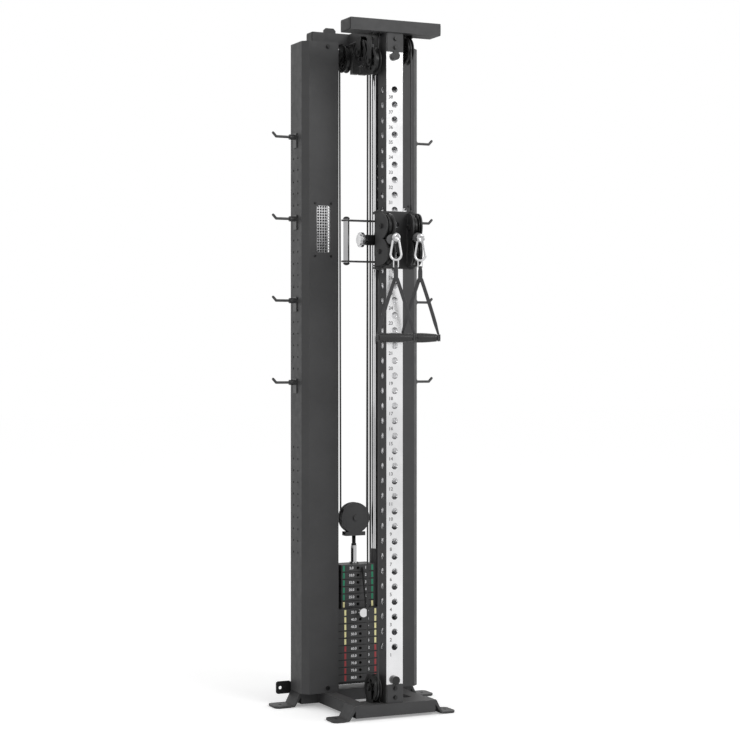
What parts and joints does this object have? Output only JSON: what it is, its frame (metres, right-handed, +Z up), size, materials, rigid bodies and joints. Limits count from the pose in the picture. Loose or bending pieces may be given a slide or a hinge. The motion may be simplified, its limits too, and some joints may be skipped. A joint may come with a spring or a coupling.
{
  "type": "cable machine",
  "caption": "Wall-mounted cable machine with a drilled chrome column, a sliding carriage with twin swivelling pulley heads, strap handles and a guarded weight stack.",
  "frame": {"origin": "centre of the bounding box on the floor", "axes": "+Z up, -Y towards the user, +X to the right of the user's view"},
  "size_m": [0.614, 0.5414, 2.333],
  "materials": {
    "frame_paint": "fine textured dark grey powder coat",
    "black_paint": "satin black coating",
    "stack_iron": "dark coated plates",
    "column_chrome": "bright chrome",
    "bright_metal": "chromed fittings",
    "mesh_metal": "perforated sheet",
    "pulley_plastic": "black nylon",
    "liner_plastic": "low-friction black plastic",
    "knob": "steel pin with a black knob",
    "rubber": "matte black rubber",
    "cable": "grey plastic-coated steel cable",
    "lanyard": "black coiled cord",
    "webbing": "dark grey woven webbing",
    "grip_foam": "dark grey hand grips"
  },
  "bodies": {
    "frame": {"base_front_beam": "frame_paint", "base_side_rails": "frame_paint", "base_rear_beam": "frame_paint", "feet": "frame_paint", "foot_pads": "rubber", "wall_anchor_tabs": "black_paint", "guide_column": "column_chrome", "column_channel": "black_paint", "column_brackets": "black_paint", "frame_bolts": "black_paint", "carriage_stops": "rubber", "top_front_beam": "frame_paint", "rear_top_frame": "frame_paint", "left_upright": "frame_paint", "right_upright": "frame_paint", "mesh_panels": "mesh_metal", "guide_rods": "column_chrome", "stack_buffers": "rubber", "lower_plates": "stack_iron", "storage_hooks": "bright_metal", "pulley_hangers": "black_paint", "fixed_cables": "cable", "left_head_cable": "cable", "right_head_cable": "cable"},
    "left_rear_wheel": {"left_rear_pulley": "pulley_plastic"},
    "right_rear_wheel": {"right_rear_pulley": "pulley_plastic"},
    "left_return_wheel": {"left_return_pulley": "pulley_plastic"},
    "left_guide_wheel": {"left_guide_pulley": "pulley_plastic"},
    "right_column_wheel": {"right_column_pulley": "pulley_plastic"},
    "bottom_wheel": {"bottom_pulley": "pulley_plastic"},
    "lifted_stack": {"upper_plates": "stack_iron", "selected_plate": "stack_iron", "lift_rod": "bright_metal", "rod_sleeves": "black_paint", "floating_bracket": "black_paint", "stack_cable": "cable", "pin_lanyard": "lanyard"},
    "floating_wheel": {"floating_pulley": "pulley_plastic"},
    "stack_pin": {"selector_pin": "bright_metal"},
    "carriage": {"carriage_sleeve": "frame_paint", "slide_liners": "liner_plastic", "grip_tube": "rubber", "plunger_housing": "black_paint"},
    "plunger": {"index_plunger": "knob"},
    "left_head": {"left_head_frame": "frame_paint", "left_handle_cable": "cable"},
    "right_head": {"right_head_frame": "frame_paint", "right_handle_cable": "cable"},
    "left_lower_wheel": {"left_lower_pulley": "pulley_plastic"},
    "left_upper_wheel": {"left_upper_pulley": "pulley_plastic"},
    "right_upper_wheel": {"right_upper_pulley": "pulley_plastic"},
    "right_lower_wheel": {"right_lower_pulley": "pulley_plastic"},
    "left_cable_end": {"left_cable_ball": "rubber"},
    "right_cable_end": {"right_cable_ball": "rubber"},
    "left_handle": {"left_carabiner": "bright_metal", "left_strap": "webbing", "left_grip": "grip_foam"},
    "right_handle": {"right_carabiner": "bright_metal", "right_strap": "webbing", "right_grip": "grip_foam"}
  },
  "joints": [
    {"name": "stack_lift", "type": "slide", "parent": "frame", "child": "lifted_stack", "axis": [0, 0, 1], "range_m": [0, 1.35], "deforming": ["stack_cable"]},
    {"name": "carriage_slide", "type": "slide", "parent": "frame", "child": "carriage", "axis": [0, 0, 1], "range_m": [-1.2, 0.3], "deforming": ["left_head_cable", "right_head_cable"]},
    {"name": "index_plunger", "type": "slide", "parent": "carriage", "child": "plunger", "axis": [-1, 0, 0], "range_m": [0, 0.016], "stiffness_N_per_m": 600, "springref_m": -0.01},
    {"name": "left_swivel", "type": "hinge", "parent": "carriage", "child": "left_head", "pos_m": [-0.06, -0.11729, 1.585], "axis": [0, 0, 1], "range_deg": [-60, 0]},
    {"name": "right_swivel", "type": "hinge", "parent": "carriage", "child": "right_head", "pos_m": [0.06, -0.11729, 1.585], "axis": [0, 0, 1], "range_deg": [0, 60]},
    {"name": "left_pull", "type": "slide", "parent": "left_head", "child": "left_cable_end", "axis": [0, -1, 0], "range_m": [0, 1.35], "deforming": ["left_handle_cable"]},
    {"name": "right_pull", "type": "slide", "parent": "right_head", "child": "right_cable_end", "axis": [0, -1, 0], "range_m": [0, 1.35], "deforming": ["right_handle_cable"]},
    {"name": "left_swing", "type": "hinge", "parent": "left_cable_end", "child": "left_handle", "pos_m": [-0.05098, -0.23194, 1.594], "axis": [-0.9063, 0.4226, 0], "range_deg": [0, 60]},
    {"name": "right_swing", "type": "hinge", "parent": "right_cable_end", "child": "right_handle", "pos_m": [0.03806, -0.23018, 1.594], "axis": [-0.9063, 0.4226, 0], "range_deg": [-10, 0]},
    {"name": "selector_pin", "type": "slide", "parent": "lifted_stack", "child": "stack_pin", "axis": [0, -1, 0], "range_m": [0, 0.09], "deforming": ["pin_lanyard"]},
    {"name": "left_rear_spin", "type": "hinge", "parent": "frame", "child": "left_rear_wheel", "pos_m": [-0.054, 0.16821, 2.222], "axis": [1, 0, 0], "continuous": true},
    {"name": "right_rear_spin", "type": "hinge", "parent": "frame", "child": "right_rear_wheel", "pos_m": [0.054, 0.16821, 2.222], "axis": [1, 0, 0], "continuous": true},
    {"name": "left_return_spin", "type": "hinge", "parent": "frame", "child": "left_return_wheel", "pos_m": [-0.06, 0.01021, 2.222], "axis": [1, 0, 0], "continuous": true},
    {"name": "left_guide_spin", "type": "hinge", "parent": "frame", "child": "left_guide_wheel", "pos_m": [-0.06, -0.07479, 2.181], "axis": [1, 0, 0], "continuous": true},
    {"name": "right_column_spin", "type": "hinge", "parent": "frame", "child": "right_column_wheel", "pos_m": [0.06, -0.07479, 2.222], "axis": [1, 0, 0], "continuous": true},
    {"name": "bottom_spin", "type": "hinge", "parent": "frame", "child": "bottom_wheel", "pos_m": [-0.06, -0.07479, 0.097], "axis": [1, 0, 0], "continuous": true},
    {"name": "floating_spin", "type": "hinge", "parent": "lifted_stack", "child": "floating_wheel", "pos_m": [0, 0.21071, 0.6386], "axis": [0, -1, 0], "continuous": true},
    {"name": "left_lower_spin", "type": "hinge", "parent": "left_head", "child": "left_lower_wheel", "pos_m": [-0.05706, -0.15468, 1.5435], "axis": [0.9969, 0.0785, 0], "continuous": true},
    {"name": "left_upper_spin", "type": "hinge", "parent": "left_head", "child": "left_upper_wheel", "pos_m": [-0.05616, -0.16614, 1.6265], "axis": [0.9969, 0.0785, 0], "continuous": true},
    {"name": "right_upper_spin", "type": "hinge", "parent": "right_head", "child": "right_upper_wheel", "pos_m": [0.05285, -0.1541, 1.6265], "axis": [0.9816, -0.1908, 0], "continuous": true},
    {"name": "right_lower_spin", "type": "hinge", "parent": "right_head", "child": "right_lower_wheel", "pos_m": [0.05065, -0.16539, 1.5435], "axis": [0.9816, -0.1908, 0], "continuous": true}
  ],
  "couplings": [
    {"joint": "left_pull", "follows": "stack_lift", "ratio": 1},
    {"joint": "right_pull", "follows": "stack_lift", "ratio": 1},
    {"joint": "left_rear_spin", "follows": "stack_lift", "rad_per_m": 23.529},
    {"joint": "right_rear_spin", "follows": "stack_lift", "rad_per_m": 23.529},
    {"joint": "left_return_spin", "follows": "stack_lift", "rad_per_m": 23.529},
    {"joint": "right_column_spin", "follows": "stack_lift", "rad_per_m": 23.529},
    {"joint": "bottom_spin", "follows": "stack_lift", "rad_per_m": -23.529},
    {"joint": "left_lower_spin", "follows": "stack_lift", "rad_per_m": 26.667},
    {"joint": "right_upper_spin", "follows": "stack_lift", "rad_per_m": -26.667}
  ]
}
